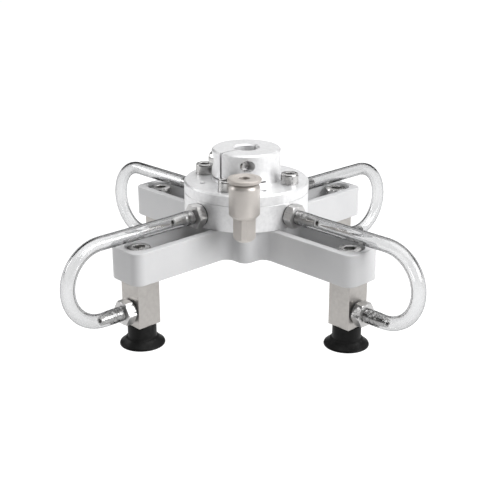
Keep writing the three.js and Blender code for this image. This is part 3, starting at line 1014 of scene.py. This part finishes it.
for arm in ARMS:
    name, holder = arm["name"], f"{arm['name']}_holder"
    turn = turn_z(arm["turn"])
    at_manifold = turn @ shift(PORT_FACE, 0, PORT_HEIGHT) @ ALONG_X
    at_block = turn @ shift(BLOCK_FACE, 0, BLOCK_PORT_HEIGHT) @ ALONG_X
    at_cup = turn @ shift(HOLDER_RADIUS, 0, 0)
    in_metres = turn @ shift(HOLDER_RADIUS * MM, 0, 0)
    block_end = BARB_END if name.startswith("front") else BARB_END_BACK
    for piece, mesh, slot, body in (
        (
            "manifold_barb",
            hose_barb(at_manifold, THREAD_INTO_MANIFOLD, BARB_END),
            "bright_nickel",
            FRAME_BODY,
        ),
        ("manifold_washer", washer(at_manifold), "washer_nylon", FRAME_BODY),
        ("block_barb", hose_barb(at_block, THREAD_INTO_BLOCK, block_end), "bright_nickel", holder),
        ("block_washer", washer(at_block), "washer_nylon", holder),
        ("vacuum_block", vacuum_block(in_metres), "block_nickel", holder),
        ("suction_cup", turned(CUP_PROFILE, 96, True, at_cup), "cup_rubber", holder),
        ("cup_nipple", cup_nipple(at_cup), "bright_nickel", holder),
    ):
        finish_piece(f"fine_{piece}_{name}", mesh, slot, body, [f"{piece}_{name}"])


# ---------------------------------------------------------------- elbow

at_elbow = turn_z(ELBOW_TURN) @ shift(ELBOW_DISTANCE, 0, 0)
at_stem = turn_z(ELBOW_TURN) @ shift(0, 0, PORT_HEIGHT) @ ALONG_X


def foot_radius(angle):
    """Distance to the side of the eight-sided foot: narrow flats on the axes, wide between."""
    narrow = 6.1 / max(abs(math.cos(angle)), abs(math.sin(angle)), 1e-6)
    quarter = math.pi / 2
    to_diagonal = (angle % quarter) - quarter / 2
    wide = 5.38 / max(math.cos(to_diagonal), 1e-6)
    return min(narrow, wide)


def elbow_body():
    """Round barrel over an eight-sided foot with a rounded end, bored from the top."""
    corner = math.atan2(1.5, 6.1)
    angles = [2 * math.pi * j / 96 for j in range(96)]
    for quarter in range(4):
        angles += [quarter * math.pi / 2 + corner, (quarter + 1) * math.pi / 2 - corner]
    angles.sort()
    rings = []

    def ring(radius_at, z):
        return [(radius_at(a) * math.cos(a), radius_at(a) * math.sin(a), z) for a in angles]

    rings.append(ring(lambda a: 0, ELBOW_BOTTOM))
    for i in range(1, 13):
        slope = math.radians(90 * i / 12)
        cone = 6.5 * math.sin(slope)
        height = ELBOW_BOTTOM + 4.5 * (1 - math.cos(slope))
        rings.append(ring(lambda a, c=cone: min(foot_radius(a), c), height))
    rings.append(ring(foot_radius, BARREL_BOTTOM - 0.4))
    profile = softened(
        [
            (6.2, BARREL_BOTTOM - 0.3),
            (6.9, BARREL_BOTTOM),
            (8.45, BARREL_BOTTOM + 1.7),
            (8.45, BARREL_TOP - 1.9),
            (7.9, BARREL_TOP - 0.7),
            (7.3, BARREL_TOP),
            (5.3, BARREL_TOP),
            (5.3, 75),
            (2.2, 75),
            (2.2, 66),
            (0, 66),
        ],
        0.3,
    )
    rings += [ring(lambda a, r=r: r, z) for r, z in profile]
    return loft(rings, caps=False, matrix=at_elbow)


def elbow_turned(profile, place, sides=72):
    return turned(softened(profile, 0.25, 3, True), sides, True, place)


ELBOW_PIECES = [
    (
        "elbow_stem",
        elbow_turned(
            [
                (2, 28.3),
                (4.6, 28.3),
                (4.6, 35.7),
                (6, 35.7),
                (6, 40.6),
                (3.9, 40.6),
                (3.9, 44.3),
                (2, 44.3),
            ],
            at_stem,
        ),
        "bright_nickel",
        FRAME_BODY,
    ),
    ("elbow_body", elbow_body(), "satin_nickel", ELBOW_BODY),
    (
        "release_collar",
        elbow_turned(
            [
                (4.7, 80.3),
                (4.7, COLLAR_BOTTOM),
                (8.9, COLLAR_BOTTOM),
                (9.25, COLLAR_BOTTOM + 0.35),
                (9.25, COLLAR_TOP - 0.5),
                (8.7, COLLAR_TOP - 0.05),
                (6.2, COLLAR_TOP),
                (5.9, COLLAR_TOP - 0.2),
                (3.1, COLLAR_TOP - 0.2),
                (2.95, COLLAR_TOP - 0.4),
                (2.95, 80.3),
            ],
            at_elbow,
        ),
        "satin_nickel",
        COLLAR_BODY,
    ),
    (
        "elbow_grip_ring",
        elbow_turned([(3.2, 78), (5, 78), (5, 78.8), (3.4, 78.8)], at_elbow),
        "screw_steel",
        ELBOW_BODY,
    ),
    (
        "elbow_tube_seal",
        elbow_turned([(3.1, 75.3), (5, 75.3), (5, 77.3), (3.1, 77.3)], at_elbow),
        "rubber",
        ELBOW_BODY,
    ),
]
for node, mesh, slot, body in ELBOW_PIECES:
    look = "collar_nickel" if node == "release_collar" else slot
    finish_piece(f"fine_{node}", mesh, slot, body, [node], look=look)

for node in ("inner_o_ring", "outer_o_ring"):
    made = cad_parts[node]
    made.data.materials.clear()
    made.data.materials.append(MATERIALS["rubber"])


# ---------------------------------------------------------------- floor and light

# Level directions as the camera sees them
STAGE_RIGHT = (0.694, 0.72, 0)
STAGE_FRONT = (0.72, -0.694, 0)


def make_floor():
    """A pale floor that glows, evenly round the object and less far in front."""
    size = 9.0
    points = [(-size, -size, 0), (size, -size, 0), (size, size, 0), (-size, size, 0)]
    mesh = bpy.data.meshes.new("floor")
    mesh.from_pydata(points, [], [(0, 1, 2, 3)])
    floor = bpy.data.objects.new("floor", mesh)
    bpy.context.scene.collection.objects.link(floor)
    made = Shader("floor", Roughness=0.9, Specular_IOR_Level=0.0)
    made.shader.inputs["Emission Color"].default_value = (1, 1, 1, 1)
    ahead = made.nodes.new("ShaderNodeVectorMath")
    ahead.operation = "DOT_PRODUCT"
    ahead.inputs[1].default_value = STAGE_FRONT
    made.links.new(made.place, ahead.inputs[0])
    aside = made.nodes.new("ShaderNodeVectorMath")
    aside.operation = "DOT_PRODUCT"
    aside.inputs[1].default_value = STAGE_RIGHT
    made.links.new(made.place, aside.inputs[0])
    glow = made.nodes.new("ShaderNodeMath")
    glow.operation = "MULTIPLY"
    made.links.new(made.ranged(ahead.outputs["Value"], 1, 0.42, 0.215, 0.36), glow.inputs[0])
    made.links.new(made.ranged(aside.outputs["Value"], 0.98, 1.12, -0.3, 0.3), glow.inputs[1])
    made.feed("Emission Strength", glow.outputs["Value"])
    made.feed("Base Color", made.mixed(made.noise(3, 2), (0.13, 0.13, 0.13), (0.15, 0.15, 0.15)))
    mesh.materials.append(made.material)


def area_light(name, place, target, size, power):
    data = bpy.data.lights.new(name, "AREA")
    data.shape = "RECTANGLE"
    data.size, data.size_y = size
    data.energy = power
    light = bpy.data.objects.new(name, data)
    light.location = place
    light.rotation_mode = "QUATERNION"
    light.rotation_quaternion = (Vector(target) - Vector(place)).to_track_quat("-Z", "Y")
    bpy.context.scene.collection.objects.link(light)


def make_world():
    """Soft light from all round, strong from the right, weak from the front and low behind."""
    world = bpy.data.worlds.new("studio")
    world.use_nodes = True
    nodes, links = world.node_tree.nodes, world.node_tree.links
    direction = nodes.new("ShaderNodeTexCoord").outputs["Generated"]

    def along(axis, start, end, low, high):
        dot = nodes.new("ShaderNodeVectorMath")
        dot.operation = "DOT_PRODUCT"
        dot.inputs[1].default_value = axis
        links.new(direction, dot.inputs[0])
        ramp = nodes.new("ShaderNodeMapRange")
        ramp.interpolation_type = "SMOOTHSTEP"
        ramp.inputs["From Min"].default_value = start
        ramp.inputs["From Max"].default_value = end
        ramp.inputs["To Min"].default_value = low
        ramp.inputs["To Max"].default_value = high
        links.new(dot.outputs["Value"], ramp.inputs["Value"])
        return ramp.outputs["Result"]

    strength = along(STAGE_RIGHT, -0.5, 0.9, 0.4, 1.9)
    for ramp in (along(STAGE_FRONT, 0.0, 0.8, 0.8, 0.3), along(STAGE_FRONT, -1.0, -0.4, 0.15, 1.0)):
        product = nodes.new("ShaderNodeMath")
        product.operation = "MULTIPLY"
        links.new(strength, product.inputs[0])
        links.new(ramp, product.inputs[1])
        strength = product.outputs["Value"]
    links.new(strength, nodes["Background"].inputs["Strength"])
    bpy.context.scene.world = world


make_floor()
make_world()
centre = (0, 0, 0.05)
area_light("key_right", (1.0, 0.3, 0.6), centre, (0.8, 0.8), 14)
area_light("back_soft", (-0.4, 0.9, 0.9), centre, (1.6, 1.0), 5)
area_light("top_soft", (0.1, 0.1, 1.4), centre, (1.8, 1.8), 23)
area_light("left_soft", (-0.78, -0.56, 0.46), centre, (0.45, 0.45), 4)
bpy.context.scene.view_settings.view_transform = "Standard"
